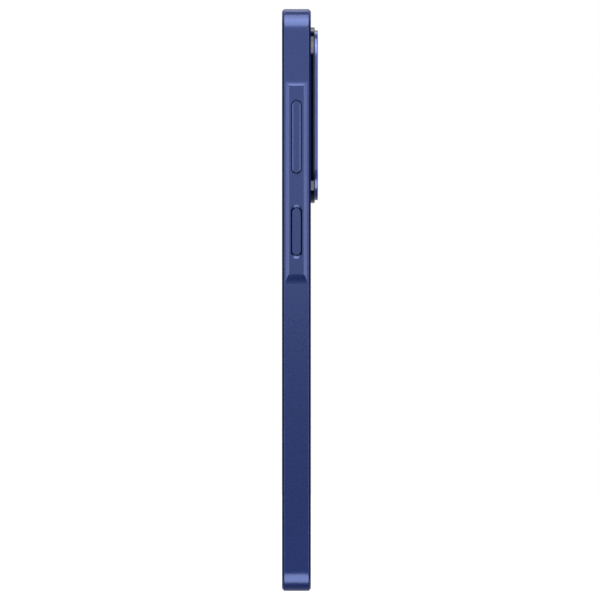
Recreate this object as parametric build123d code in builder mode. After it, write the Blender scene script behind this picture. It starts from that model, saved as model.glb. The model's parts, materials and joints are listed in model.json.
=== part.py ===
from build123d import *

import os

# A smartphone as an assembly of separate pieces, in millimetres.
#
# X runs across the phone, with the volume and power keys on +X. Y runs through it, with the
# screen on -Y and the rear cover on +Y. Z runs up its height. The origin is the middle of the
# charging-port mouth, on the bottom end and on the mid-plane between screen and cover.

# ------------------------------------------------------------------ driving dimensions
# Body
height = 164.0
width = 77.8
thickness = 8.1
corner_radius = 6.3
edge_bevel = 0.6
shoulder_radius = 0.25
wall = 2.3
lip = 1.05

# Key island, the raised strip on the right-hand side
island_height = 0.4
island_top_width = 4.2
island_base_width = 6.1
island_top_z = (89.2, 142.2)
island_base_z = (86.5, 144.0)
island_side_radius = 1.6
island_end_radius = 0.25

# Volume and power keys
volume_key_width = 2.4
volume_key_length = 20.2
volume_key_z = 127.8
volume_key_proud = 0.3
volume_facet_width = 0.33
volume_facet_drop = 0.13
power_key_width = 2.45
power_key_length = 13.2
power_key_z = 101.2
power_key_sunk = 0.18
key_gap = 0.28
key_edge = 0.08
power_pocket_width = 3.2
power_pocket_length = 15.2
power_pocket_depth = 0.35

# Camera island on the rear cover
camera_x = 24.35
camera_pitch = 15.15
camera_mid_z = 134.3
bump_width = 19.5
bump_length = 49.8
bump_base_height = 1.15
bump_rim_inset = 0.85
bump_rim_height = 0.85
bump_rim_wall = 1.35
bump_rim_edge = 0.2

# Depths of the layers, from the screen to the rear cover
glass_thickness = 0.6
cover_thickness = 0.8
glue_thickness = 0.1
panel_thickness = 1.3
plate_front_y = -2.05
plate_back_y = -1.35
board_front_y = 0.9
board_thickness = 0.8
bracket_front_y = 2.65
bracket_back_y = 3.0

# Fits
seat_gap = 0.05
hole_gap = 0.02
cut_margin = 1.0
slot_margin = 0.5

# ------------------------------------------------------------------ worked-out positions
half_width = width / 2
half_thickness = thickness / 2
mid_z = height / 2
front_y = -half_thickness
back_y = half_thickness
wall_inner_x = half_width - wall
cavity_bottom_z = wall
cavity_top_z = height - wall
island_face_x = half_width + island_height

glass_back_y = front_y + glass_thickness
ledge_front_y = glass_back_y + glue_thickness
cover_front_y = back_y - cover_thickness
ledge_back_y = cover_front_y - glue_thickness
panel_back_y = glass_back_y + panel_thickness
board_back_y = board_front_y + board_thickness

bump_base_y = back_y + bump_base_height
bump_top_y = bump_base_y + bump_rim_height
rim_width = bump_width - 2 * bump_rim_inset
rim_length = bump_length - 2 * bump_rim_inset
upper_camera = (camera_x, camera_mid_z + camera_pitch)
middle_camera = (camera_x, camera_mid_z)
lower_camera = (camera_x, camera_mid_z - camera_pitch)


def front_plane(y):
    """The drawing plane at depth y, seen from the screen side; extrusions go towards the screen."""
    return Plane.XZ.offset(-y)


def side_plane(x):
    """The drawing plane at x, seen from the key side; extrusions go towards the key side."""
    return Plane.YZ.offset(x)


def slab(x_span, y_span, z_span, radius=0.0):
    """A plate filling three spans, with its corners rounded in the front view."""
    x_size = x_span[1] - x_span[0]
    z_size = z_span[1] - z_span[0]
    centre = (sum(x_span) / 2, sum(z_span) / 2)
    with BuildPart() as plate:
        with BuildSketch(front_plane(y_span[1])):
            with Locations(centre):
                if radius:
                    RectangleRounded(x_size, z_size, radius)
                else:
                    Rectangle(x_size, z_size)
        extrude(amount=y_span[1] - y_span[0])
    return plate.part


def around_body(inset, y_span):
    """A plate whose outline follows the body's, set in by an even amount."""
    x_span = (inset - half_width, half_width - inset)
    z_span = (inset, height - inset)
    return slab(x_span, y_span, z_span, corner_radius - inset)


def disc(x, z, radius, y_span):
    """A round plate or pin that runs through the phone's thickness."""
    with BuildPart() as pin:
        with BuildSketch(front_plane(y_span[1])):
            with Locations((x, z)):
                Circle(radius)
        extrude(amount=y_span[1] - y_span[0])
    return pin.part


def upright_pill(x, z, across, long, y_span):
    """A plate with full-round ends, standing upright in the front view."""
    with BuildPart() as pill:
        with BuildSketch(front_plane(y_span[1])):
            with Locations((x, z)):
                SlotOverall(long, across, rotation=90)
        extrude(amount=y_span[1] - y_span[0])
    return pill.part


def side_pill(y, z, across, long, x_span):
    """A plate with full-round ends on the phone's side wall, its long way upright."""
    with BuildPart() as pill:
        with BuildSketch(side_plane(x_span[0])):
            with Locations((y, z)):
                SlotOverall(long, across, rotation=90)
        extrude(amount=x_span[1] - x_span[0])
    return pill.part


def side_pin(y, z, radius, x_span):
    """A round pin or bore that runs across the phone's width."""
    with BuildPart() as pin:
        with BuildSketch(side_plane(x_span[0])):
            with Locations((y, z)):
                Circle(radius)
        extrude(amount=x_span[1] - x_span[0])
    return pin.part


def end_pill(x, y, across, deep, z_span):
    """A plate with full-round ends on the phone's bottom end, its long way across."""
    with BuildPart() as pill:
        with BuildSketch(Plane.XY.offset(z_span[0])):
            with Locations((x, y)):
                SlotOverall(across, deep)
        extrude(amount=z_span[1] - z_span[0])
    return pill.part


def end_pin(x, y, radius, z_span):
    """A round pin or bore that runs up the phone's height."""
    with BuildPart() as pin:
        with BuildSketch(Plane.XY.offset(z_span[0])):
            with Locations((x, y)):
                Circle(radius)
        extrude(amount=z_span[1] - z_span[0])
    return pin.part


# ------------------------------------------------------------------ screws that hold the brackets
screw_shank_radius = 0.7
screw_head_radius = 1.2
screw_head_height = 0.3
screw_length = 3.2
post_radius = 1.6
upper_screws = [(-33.0, 157.5), (12.0, 157.5), (-26.0, 114.6), (12.0, 114.6)]
lower_screws = [(-33.0, 6.5), (-12.0, 20.5), (33.2, 6.2), (11.8, 20.8)]
screw_places = upper_screws + lower_screws
screw_tip_y = bracket_back_y - screw_length

# ------------------------------------------------------------------ card tray and its way out
tray_z = 130.0
tray_head_length = 23.0
tray_head_depth = 2.4
tray_head_thick = 1.3
tray_gap = 0.1
tray_pocket_depth = 1.8
blade_x = (tray_head_thick - half_width, -17.6)
blade_y = (-0.55, 0.35)
blade_z = (122.7, 140.2)
blade_mid_y = sum(blade_y) / 2
card_opening = (8.9, 12.4)
card_ledge = 0.6
card_floor = 0.2
card_centres = [(-32.1, 131.45), (-22.8, 131.45)]
eject_hole_z = 120.7
eject_hole_radius = 0.5
eject_way_radius = 0.6
blade_slot_gap = 0.15

# ------------------------------------------------------------------ ports on the two ends
port_shell_width = 8.94
port_shell_depth = 3.16
port_mouth_width = 8.34
port_mouth_depth = 2.56
port_cutout_width = 9.2
port_cutout_depth = 3.4
port_shell_z = (0.3, 7.3)
speaker_hole_radius = 0.6
speaker_hole_pitch = 2.0
speaker_hole_count = 6
speaker_hole_mid_x = 18.0
mic_hole_radius = 0.5
lower_mic_x = -14.0
upper_mic_x = 11.0
earpiece_slit = (12.0, 0.5)
duct_overlap = 0.2

# ------------------------------------------------------------------ side frame
island_root_x = half_width - slot_margin


def key_island():
    """A low mesa whose sides are bevelled and whose two ends curve up out of the side wall."""
    with BuildPart() as island:
        with BuildSketch(front_plane(0)):
            with BuildLine():
                foot_low = (half_width, island_base_z[0])
                foot_high = (half_width, island_base_z[1])
                face_low = (island_face_x, island_top_z[0])
                face_high = (island_face_x, island_top_z[1])
                root_low = (island_root_x, island_base_z[0])
                root_high = (island_root_x, island_base_z[1])
                Polyline(foot_low, root_low, root_high, foot_high)
                TangentArc(foot_low, face_low, tangent=(0, 1))
                TangentArc(foot_high, face_high, tangent=(0, -1))
                Line(face_low, face_high)
            make_face()
        extrude(amount=island_base_width / 2, both=True)
        with BuildSketch(Plane.XY.offset(island_base_z[0])):
            with BuildLine():
                Polyline(
                    (island_root_x, -island_base_width / 2),
                    (half_width, -island_base_width / 2),
                    (island_face_x, -island_top_width / 2),
                    (island_face_x, island_top_width / 2),
                    (half_width, island_base_width / 2),
                    (island_root_x, island_base_width / 2),
                    close=True,
                )
            make_face()
        extrude(amount=island_base_z[1] - island_base_z[0], mode=Mode.INTERSECT)
        top_edges = faces().sort_by(Axis.X)[-1].edges()
        fillet(top_edges.filter_by(Axis.Z), island_side_radius)
        fillet(faces().sort_by(Axis.X)[-1].edges().filter_by(Axis.Y), island_end_radius)
    return island.part


with BuildPart() as side_frame:
    with BuildSketch(front_plane(back_y)):
        with Locations((0, mid_z)):
            RectangleRounded(width, height, corner_radius)
    extrude(amount=thickness)
    chamfer(faces().filter_by(Axis.Y).edges(), length=edge_bevel)
    shoulder_y = half_thickness - edge_bevel
    for shoulder in (-shoulder_y, shoulder_y):
        fillet(edges().filter_by_position(Axis.Y, shoulder - 0.01, shoulder + 0.01), shoulder_radius)

    add(key_island())

    # Seats for the cover glass and the rear cover, and the open middle
    add(around_body(lip, (front_y, ledge_front_y)), mode=Mode.SUBTRACT)
    add(around_body(lip, (ledge_back_y, back_y)), mode=Mode.SUBTRACT)
    add(around_body(wall, (front_y, back_y)), mode=Mode.SUBTRACT)

    # Key slots, with the bevelled pocket that lets a fingertip find the sunk power key
    volume_slot = (volume_key_width + 2 * key_gap, volume_key_length + 2 * key_gap)
    power_slot = (power_key_width + 2 * key_gap, power_key_length + 2 * key_gap)
    key_slot_x = (wall_inner_x - cut_margin, island_face_x + cut_margin)
    add(side_pill(0, volume_key_z, *volume_slot, key_slot_x), mode=Mode.SUBTRACT)
    add(side_pill(0, power_key_z, *power_slot, key_slot_x), mode=Mode.SUBTRACT)
    with BuildSketch(side_plane(island_face_x - power_pocket_depth)):
        with Locations((0, power_key_z)):
            SlotOverall(power_slot[1], power_slot[0], rotation=90)
    with BuildSketch(side_plane(island_face_x)):
        with Locations((0, power_key_z)):
            SlotOverall(power_pocket_length, power_pocket_width, rotation=90)
    loft(mode=Mode.SUBTRACT)

    # Card-tray opening on the left: a pocket for the head, a slot for the blade, the pin's hole
    pocket_floor_x = tray_pocket_depth - half_width
    head_opening = (tray_head_depth + 2 * tray_gap, tray_head_length + 2 * tray_gap)
    blade_slot_y = (blade_y[0] - blade_slot_gap, blade_y[1] + blade_slot_gap)
    blade_slot_z = (blade_z[0] - blade_slot_gap, blade_z[1] + blade_slot_gap)
    left_cut_x = (-half_width - cut_margin, slot_margin - wall_inner_x)
    add(side_pill(0, tray_z, *head_opening, (left_cut_x[0], pocket_floor_x)), mode=Mode.SUBTRACT)
    add(slab(left_cut_x, blade_slot_y, blade_slot_z), mode=Mode.SUBTRACT)
    add(side_pin(blade_mid_y, eject_hole_z, eject_way_radius, left_cut_x), mode=Mode.SUBTRACT)

    # Bottom end: charging port, loudspeaker holes and lower microphone
    bottom_cut_z = (-cut_margin, cavity_bottom_z + slot_margin)
    add(end_pill(0, 0, port_cutout_width, port_cutout_depth, bottom_cut_z), mode=Mode.SUBTRACT)
    for step in range(speaker_hole_count):
        hole_x = speaker_hole_mid_x + (step - (speaker_hole_count - 1) / 2) * speaker_hole_pitch
        add(end_pin(hole_x, 0, speaker_hole_radius, bottom_cut_z), mode=Mode.SUBTRACT)
    add(end_pin(lower_mic_x, 0, mic_hole_radius, bottom_cut_z), mode=Mode.SUBTRACT)

    # Top end: upper microphone, and the sound duct behind the earpiece slit
    top_cut_z = (cavity_top_z - slot_margin, height + cut_margin)
    add(end_pin(upper_mic_x, 0, mic_hole_radius, top_cut_z), mode=Mode.SUBTRACT)
    duct_x = (-5.0, 5.0)
    duct_y = (ledge_front_y - duct_overlap, plate_front_y)
    duct_z = (cavity_top_z - slot_margin, height - lip - duct_overlap)
    add(slab(duct_x, duct_y, duct_z), mode=Mode.SUBTRACT)

# ------------------------------------------------------------------ support plate behind the display
front_camera = (0.0, 156.2)
front_camera_radius = 1.7
display_flex_x = (-15.0, 15.0)
plate_windows = {
    "front camera": ((-3.0, 3.0), (153.2, 159.2)),
    "light sensor": ((7.2, 9.8), (154.6, 157.8)),
    "earpiece sound": ((-14.0, -6.0), (157.5, 159.0)),
    "display ribbon": ((-15.5, 15.5), (23.6, 25.0)),
    "charging port": ((-5.4, 5.4), (0.0, 7.6)),
    "keys": ((35.3, half_width), (93.5, 139.0)),
}

with BuildPart() as support_plate:
    add(around_body(wall + seat_gap, (plate_front_y, plate_back_y)))
    for x, z in screw_places:
        add(disc(x, z, post_radius, (plate_back_y, bracket_front_y)))
    for x, z in screw_places:
        bore_y = (screw_tip_y - 0.3, bracket_front_y)
        add(disc(x, z, screw_shank_radius + hole_gap, bore_y), mode=Mode.SUBTRACT)
    for window_x, window_z in plate_windows.values():
        add(slab(window_x, (plate_front_y, plate_back_y), window_z), mode=Mode.SUBTRACT)

# ------------------------------------------------------------------ screen side
screen_x = (-35.7, 35.7)
screen_z = (5.0, 160.6)
screen_corner = 4.0
glass_edge = 0.15

with BuildPart() as display_cover_glass:
    add(around_body(lip + seat_gap, (front_y, glass_back_y)))
    chamfer(faces().sort_by(Axis.Y)[0].edges(), length=glass_edge)
    notch_z = (height - lip - seat_gap - earpiece_slit[1], height)
    notch_x = (-earpiece_slit[0] / 2, earpiece_slit[0] / 2)
    add(slab(notch_x, (front_y, glass_back_y), notch_z), mode=Mode.SUBTRACT)

panel_y = (glass_back_y, panel_back_y)
panel_hole_radius = 1.9

with BuildPart() as display_panel:
    add(slab(screen_x, panel_y, screen_z, screen_corner))
    add(disc(*front_camera, panel_hole_radius, panel_y), mode=Mode.SUBTRACT)

glue_y = (glass_back_y, ledge_front_y)
glue_break_x = (-6.2, 6.2)

with BuildPart() as display_adhesive:
    add(around_body(lip + 2 * seat_gap, glue_y))
    add(around_body(wall - seat_gap, glue_y), mode=Mode.SUBTRACT)
    add(slab(glue_break_x, glue_y, (cavity_top_z - cut_margin, height)), mode=Mode.SUBTRACT)

# The ribbon leaves the panel's back, passes the support plate's slot and ends on the sub-board
flex_thickness = 0.07
flex_gap = 0.01
flex_front_y = (panel_back_y + flex_gap, panel_back_y + flex_gap + flex_thickness)
flex_bend_z = 24.2
flex_z = (10.0, flex_bend_z)
flex_tail_x = (-8.0, 4.0)
flex_tail_z = (19.0, flex_bend_z)
sub_board_front_y = port_shell_depth / 2
connector_height = 0.6
connector_x = (-7.5, 3.5)
connector_y = (sub_board_front_y - connector_height, sub_board_front_y)
connector_z = (19.5, 22.5)
flex_end_y = (connector_y[0] - flex_thickness, connector_y[0])

with BuildPart() as display_flex:
    add(slab(display_flex_x, flex_front_y, flex_z))
    bend_z = (flex_bend_z, flex_bend_z + flex_thickness)
    add(slab(display_flex_x, (flex_front_y[0], flex_end_y[1]), bend_z))
    add(slab(flex_tail_x, flex_end_y, flex_tail_z))
    add(slab(connector_x, connector_y, connector_z))

mesh_sunk = 0.1

with BuildPart() as earpiece_mesh:
    mesh_x = (notch_x[0] + seat_gap, notch_x[1] - seat_gap)
    mesh_z = (notch_z[0] + seat_gap, height - lip - seat_gap)
    add(slab(mesh_x, (front_y + mesh_sunk, ledge_front_y), mesh_z))

receiver_x = (-17.0, -5.0)
receiver_y = (plate_back_y, 0.6)
receiver_z = (152.6, 159.2)
receiver_corner = 1.2
receiver_edge = 0.3

with BuildPart() as earpiece_receiver:
    add(slab(receiver_x, receiver_y, receiver_z, receiver_corner))
    fillet(faces().sort_by(Axis.Y)[-1].edges(), receiver_edge)

front_camera_box_x = (-2.9, 2.9)
front_camera_box_y = (-1.9, 0.4)
front_camera_box_z = (153.3, 159.1)
front_camera_box_corner = 0.4
front_camera_collar_radius = 1.75
front_camera_collar_y = (-2.4, front_camera_box_y[0])
front_camera_nose_y = (glass_back_y + seat_gap, front_camera_collar_y[0])

with BuildPart() as front_camera_module:
    add(slab(front_camera_box_x, front_camera_box_y, front_camera_box_z, front_camera_box_corner))
    add(disc(*front_camera, front_camera_collar_radius, front_camera_collar_y))
    add(disc(*front_camera, front_camera_radius, front_camera_nose_y))

light_sensor_x = (7.4, 9.6)
light_sensor_y = (panel_back_y + seat_gap, plate_back_y)
light_sensor_z = (154.8, 157.6)

with BuildPart() as light_sensor:
    add(slab(light_sensor_x, light_sensor_y, light_sensor_z))

# ------------------------------------------------------------------ rear cover
flash_place = (camera_x - bump_width / 2 - 5.2, upper_camera[1])
flash_radius = 2.9
bump_neck_inset = 0.6
cover_edge = 0.25
cover_y = (cover_front_y, back_y)

with BuildPart() as rear_cover:
    add(around_body(lip + seat_gap, cover_y))
    fillet(faces().sort_by(Axis.Y)[-1].edges(), cover_edge)
    neck = (bump_width - 2 * bump_neck_inset, bump_length - 2 * bump_neck_inset)
    add(upright_pill(camera_x, camera_mid_z, *neck, cover_y), mode=Mode.SUBTRACT)
    add(disc(*flash_place, flash_radius + seat_gap, cover_y), mode=Mode.SUBTRACT)

with BuildPart() as rear_cover_adhesive:
    add(around_body(lip + 2 * seat_gap, (ledge_back_y, cover_front_y)))
    add(around_body(wall - seat_gap, (ledge_back_y, cover_front_y)), mode=Mode.SUBTRACT)

graphite_x = (-29.0, 29.0)
graphite_y = (cover_front_y - 0.08, cover_front_y)
graphite_z = (28.0, 106.0)
graphite_corner = 2.0

with BuildPart() as graphite_sheet:
    add(slab(graphite_x, graphite_y, graphite_z, graphite_corner))

# ------------------------------------------------------------------ camera island
main_nose = 4.9
middle_nose = 4.3
lower_nose = 3.6
lens_openings = [(upper_camera, main_nose), (middle_camera, middle_nose), (lower_camera, lower_nose)]
bump_base_edge = 0.35
bump_neck_y = (cover_front_y - 0.15, back_y)

with BuildPart() as camera_island_base:
    add(upright_pill(camera_x, camera_mid_z, bump_width, bump_length, (back_y, bump_base_y)))
    fillet(faces().sort_by(Axis.Y)[-1].edges(), bump_base_edge)
    inner_neck = (neck[0] - 2 * seat_gap, neck[1] - 2 * seat_gap)
    add(upright_pill(camera_x, camera_mid_z, *inner_neck, bump_neck_y))
    for (x, z), radius in lens_openings:
        add(disc(x, z, radius, (bump_neck_y[0], bump_base_y)), mode=Mode.SUBTRACT)

with BuildPart() as camera_island_rim:
    add(upright_pill(camera_x, camera_mid_z, rim_width, rim_length, (bump_base_y, bump_top_y)))
    fillet(faces().sort_by(Axis.Y)[-1].edges(), bump_rim_edge)
    window = (rim_width - 2 * bump_rim_wall, rim_length - 2 * bump_rim_wall)
    add(upright_pill(camera_x, camera_mid_z, *window, (bump_base_y, bump_top_y)), mode=Mode.SUBTRACT)

lens_ring_radius = 6.3
lens_ring_wall = 0.9
lens_ring_edge = 0.1
lens_ring_sunk = 0.1
island_glass_sunk = 0.35
island_glass_y = (bump_base_y, bump_top_y - island_glass_sunk)

with BuildPart() as camera_cover_glass:
    glass_size = (window[0] - 2 * seat_gap, window[1] - 2 * seat_gap)
    add(upright_pill(camera_x, camera_mid_z, *glass_size, island_glass_y))

with BuildPart() as lens_trim_rings:
    for x, z in (upper_camera, middle_camera, lower_camera):
        add(disc(x, z, lens_ring_radius, (island_glass_y[1], bump_top_y - lens_ring_sunk)))
    fillet(faces().sort_by(Axis.Y)[-3:].edges(), lens_ring_edge)
    for x, z in (upper_camera, middle_camera, lower_camera):
        ring_bore = disc(x, z, lens_ring_radius - lens_ring_wall, (island_glass_y[1], bump_top_y))
        add(ring_bore, mode=Mode.SUBTRACT)

# The main camera is a hollow can: the sensor lies on its floor and the lens barrel slides in it
can_half = 5.75
can_y = (-1.3, 3.0)
can_floor_y = can_y[0] + 0.6
can_corner = 0.8
barrel_radius = 4.0
barrel_gap = 0.08
barrel_y = (0.5, 4.7)
image_sensor_y = (can_floor_y, can_floor_y + 0.5)
image_sensor_half = (2.8, 2.2)
lens_cone_angle = 35
main_cone = (2.9, 0.7)

with BuildPart() as main_camera_housing:
    main_x, main_z = upper_camera
    can_x = (main_x - can_half, main_x + can_half)
    can_z = (main_z - can_half, main_z + can_half)
    add(slab(can_x, can_y, can_z, can_corner))
    barrel_way_y = (can_floor_y, can_y[1])
    add(disc(main_x, main_z, barrel_radius + barrel_gap, barrel_way_y), mode=Mode.SUBTRACT)

with BuildPart() as main_image_sensor:
    image_sensor_x = (main_x - image_sensor_half[0], main_x + image_sensor_half[0])
    image_sensor_z = (main_z - image_sensor_half[1], main_z + image_sensor_half[1])
    add(slab(image_sensor_x, image_sensor_y, image_sensor_z))

with BuildPart() as main_lens_barrel:
    add(disc(main_x, main_z, barrel_radius, barrel_y))
    with BuildSketch(front_plane(barrel_y[1])):
        with Locations((main_x, main_z)):
            Circle(main_cone[0])
    extrude(amount=main_cone[1], taper=lens_cone_angle, mode=Mode.SUBTRACT)


def fixed_camera(place, half_box, corner, box_y, nose_radius, nose_top_y, cone):
    """A small camera: a box with a round nose, and a cone in the nose that leads to the lens."""
    x, z = place
    with BuildPart() as camera:
        add(slab((x - half_box, x + half_box), box_y, (z - half_box, z + half_box), corner))
        add(disc(x, z, nose_radius, (box_y[1], nose_top_y)))
        with BuildSketch(front_plane(nose_top_y)):
            with Locations(place):
                Circle(cone[0])
        extrude(amount=cone[1], taper=lens_cone_angle, mode=Mode.SUBTRACT)
    return camera.part


nose_top_y = 4.9

with BuildPart() as ultrawide_camera_module:
    add(fixed_camera(middle_camera, 4.6, 0.6, (-0.9, 3.0), 3.6, nose_top_y, (2.7, 0.6)))

with BuildPart() as macro_camera_module:
    add(fixed_camera(lower_camera, 3.4, 0.5, (-0.3, 2.9), 2.6, nose_top_y, (1.8, 0.5)))

flash_flange = 0.6
flash_flange_y = (cover_front_y - 0.2, cover_front_y)

with BuildPart() as flash_lens:
    add(disc(*flash_place, flash_radius, (flash_flange_y[0], back_y)))
    add(disc(*flash_place, flash_radius + flash_flange, flash_flange_y))

led_half = 1.2
led_y = (board_back_y, 2.8)

with BuildPart() as flash_led:
    flash_x, flash_z = flash_place
    add(slab((flash_x - led_half, flash_x + led_half), led_y, (flash_z - led_half, flash_z + led_half)))

# ------------------------------------------------------------------ main board and what it carries
main_board_x = (-35.4, 14.4)
main_board_z = (111.6, 160.4)
board_corner = 1.5

with BuildPart() as main_board:
    add(slab(main_board_x, (board_front_y, board_back_y), main_board_z, board_corner))
    for x, z in upper_screws:
        board_hole = disc(x, z, post_radius + seat_gap, (board_front_y, board_back_y))
        add(board_hole, mode=Mode.SUBTRACT)

shield_top_y = 2.55
shield_sheet = 0.15
shield_corner = 0.6
shield_spans = [((-33.0, -14.0), (118.5, 150.0)), ((-11.5, 5.0), (118.5, 142.0))]

with BuildPart() as shield_cans:
    for x_span, z_span in shield_spans:
        inner_x = (x_span[0] + shield_sheet, x_span[1] - shield_sheet)
        inner_z = (z_span[0] + shield_sheet, z_span[1] - shield_sheet)
        inner_y = (board_back_y, shield_top_y - shield_sheet)
        add(slab(x_span, (board_back_y, shield_top_y), z_span, shield_corner))
        add(slab(inner_x, inner_y, inner_z, shield_corner - shield_sheet), mode=Mode.SUBTRACT)

chip_top_y = 2.3
chip_spans = [
    ((-31.0, -19.0), (134.0, 147.0)),
    ((-30.0, -20.0), (121.0, 131.0)),
    ((-18.0, -15.5), (124.0, 128.0)),
    ((-9.5, -1.5), (130.0, 139.5)),
    ((-9.0, -3.0), (120.5, 127.0)),
    ((0.5, 3.8), (122.0, 127.5)),
]
front_chip = ((-10.0, 3.0), (0.0, board_front_y), (122.0, 136.0))

with BuildPart() as board_chips:
    for x_span, z_span in chip_spans:
        add(slab(x_span, (board_back_y, chip_top_y), z_span))
    add(slab(*front_chip))

bracket_y = (bracket_front_y, bracket_back_y)
flash_opening_radius = 3.8
connector_notch = ((-10.0, 7.6), bracket_y, (111.0, 117.6))

with BuildPart() as upper_bracket:
    add(slab(main_board_x, bracket_y, main_board_z, board_corner))
    add(disc(*flash_place, flash_opening_radius, bracket_y), mode=Mode.SUBTRACT)
    for x, z in upper_screws:
        add(disc(x, z, screw_shank_radius + seat_gap, bracket_y), mode=Mode.SUBTRACT)
    add(slab(*connector_notch), mode=Mode.SUBTRACT)

antenna_x = (-31.0, 3.5)
antenna_y = (bracket_back_y, bracket_back_y + 0.15)
antenna_z = (118.0, 152.0)
antenna_corner = 3.0

with BuildPart() as near_field_antenna:
    add(slab(antenna_x, antenna_y, antenna_z, antenna_corner))

# ------------------------------------------------------------------ battery
battery_x = (-33.2, 33.2)
battery_z = (26.5, 110.3)
battery_y = (-1.2, 2.75)
battery_corner = 1.8
battery_edge = 0.6

with BuildPart() as battery_cell:
    add(slab(battery_x, battery_y, battery_z, battery_corner))
    fillet(faces().filter_by(Axis.Y).edges(), battery_edge)

strip_half = 6.0
strip_z = (30.0, 106.0)
strip_corner = 1.0

with BuildPart() as battery_adhesive:
    for middle in (-20.0, 20.0):
        strip_x = (middle - strip_half, middle + strip_half)
        add(slab(strip_x, (plate_back_y, battery_y[0]), strip_z, strip_corner))

# Small plugs on the main board, each with a strip of ribbon lying on top
plug_top_y = 2.1
plug_ribbon_y = (plug_top_y, plug_top_y + 0.1)
battery_plug_x = (-8.5, -0.5)
battery_plug_z = (112.4, 115.6)

with BuildPart() as battery_connector:
    add(slab(battery_plug_x, plug_ribbon_y, (battery_z[1], battery_plug_z[1])))
    add(slab(battery_plug_x, (board_back_y, plug_top_y), battery_plug_z))

# ------------------------------------------------------------------ sub-board at the bottom
sub_board_x = (-35.4, 8.2)
sub_board_z = (3.0, 24.0)
sub_board_y = (sub_board_front_y, sub_board_front_y + 0.8)

with BuildPart() as sub_board:
    add(slab(sub_board_x, sub_board_y, sub_board_z, board_corner))
    for x, z in lower_screws[:2]:
        add(disc(x, z, post_radius + seat_gap, sub_board_y), mode=Mode.SUBTRACT)

ribbon_notch = ((-3.0, 8.5), bracket_y, (15.0, 24.5))

with BuildPart() as lower_bracket:
    add(slab(sub_board_x, bracket_y, sub_board_z, board_corner))
    for x, z in lower_screws[:2]:
        add(disc(x, z, screw_shank_radius + seat_gap, bracket_y), mode=Mode.SUBTRACT)
    add(slab(*ribbon_notch), mode=Mode.SUBTRACT)

# The ribbon between the boards steps up over the battery's back and down again at its ends
ribbon_thickness = 0.1
ribbon_x = (-2.0, 7.0)
ribbon_y = (battery_y[1] + 0.03, battery_y[1] + 0.03 + ribbon_thickness)
ribbon_low_y = (sub_board_y[1] + ribbon_thickness, sub_board_y[1] + 2 * ribbon_thickness)
ribbon_z = (24.6, 111.8)
ribbon_low_z = (16.0, ribbon_z[0])
ribbon_foot = ((-1.0, 6.0), (sub_board_y[1], ribbon_low_y[0]), (16.5, 19.5))
ribbon_end_x = (0.2, ribbon_x[1])
ribbon_plug_x = (0.6, 6.0)
ribbon_plug_z = (113.2, 116.4)
ribbon_end_z = (ribbon_z[1], 117.0)

with BuildPart() as interconnect_flex:
    add(slab(ribbon_x, ribbon_y, ribbon_z))
    low_step_z = (ribbon_z[0], ribbon_z[0] + ribbon_thickness)
    add(slab(ribbon_x, (ribbon_low_y[0], ribbon_y[1]), low_step_z))
    add(slab(ribbon_x, ribbon_low_y, ribbon_low_z))
    add(slab(*ribbon_foot))
    high_step_z = (ribbon_z[1] - ribbon_thickness, ribbon_z[1])
    add(slab(ribbon_end_x, (plug_top_y, ribbon_y[1]), high_step_z))
    add(slab(ribbon_end_x, plug_ribbon_y, ribbon_end_z))
    add(slab(ribbon_plug_x, (board_back_y, plug_top_y), ribbon_plug_z))

coax_x = -34.3
coax_y = 0.6
coax_z = (22.5, 114.6)
coax_radius = 0.28
coax_plug_radius = 0.95
coax_plug_y = 0.3

with BuildPart() as antenna_coax:
    add(end_pin(coax_x, coax_y, coax_radius, coax_z))
    add(disc(coax_x, coax_z[0], coax_plug_radius, (coax_plug_y, sub_board_y[0])))
    add(disc(coax_x, coax_z[1], coax_plug_radius, (coax_plug_y, board_front_y)))

# ------------------------------------------------------------------ charging port
with BuildPart() as charging_port_shell:
    add(end_pill(0, 0, port_shell_width, port_shell_depth, port_shell_z))
    add(end_pill(0, 0, port_mouth_width, port_mouth_depth, port_shell_z), mode=Mode.SUBTRACT)

tongue_size = (6.69, 0.7)
tongue_tip_z = 1.25
tongue_root_z = 5.7
tongue_overrun = 0.4
tongue_corner = 0.4

with BuildPart() as charging_port_tongue:
    root_size = (port_mouth_width - 2 * seat_gap, port_mouth_depth - 2 * seat_gap)
    add(end_pill(0, 0, *root_size, (tongue_root_z, port_shell_z[1])))
    with BuildSketch(front_plane(tongue_size[1] / 2)):
        with Locations((0, (tongue_tip_z + tongue_root_z) / 2)):
            tongue_length = tongue_root_z - tongue_tip_z + 2 * tongue_overrun
            RectangleRounded(tongue_size[0], tongue_length, tongue_corner)
    extrude(amount=tongue_size[1])

contact_count = 12
contact_pitch = 0.5
contact_width = 0.25
contact_thickness = 0.04

with BuildPart() as charging_port_contacts:
    for side in (-1, 1):
        inner_face = side * tongue_size[1] / 2
        outer_face = inner_face + side * contact_thickness
        for step in range(contact_count):
            middle = (step - (contact_count - 1) / 2) * contact_pitch
            x_span = (middle - contact_width / 2, middle + contact_width / 2)
            add(slab(x_span, tuple(sorted((inner_face, outer_face))), (tongue_tip_z, tongue_root_z)))

gasket_size = (10.2, 3.7)
gasket_z = (cavity_bottom_z, cavity_bottom_z + 0.6)

with BuildPart() as charging_port_gasket:
    add(end_pill(0, 0, *gasket_size, gasket_z))
    board_side = slab((-gasket_size[0], gasket_size[0]), (sub_board_front_y, gasket_size[1]), gasket_z)
    add(board_side, mode=Mode.SUBTRACT)
    gasket_bore = (port_shell_width + 2 * hole_gap, port_shell_depth + 2 * hole_gap)
    add(end_pill(0, 0, *gasket_bore, gasket_z), mode=Mode.SUBTRACT)

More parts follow.
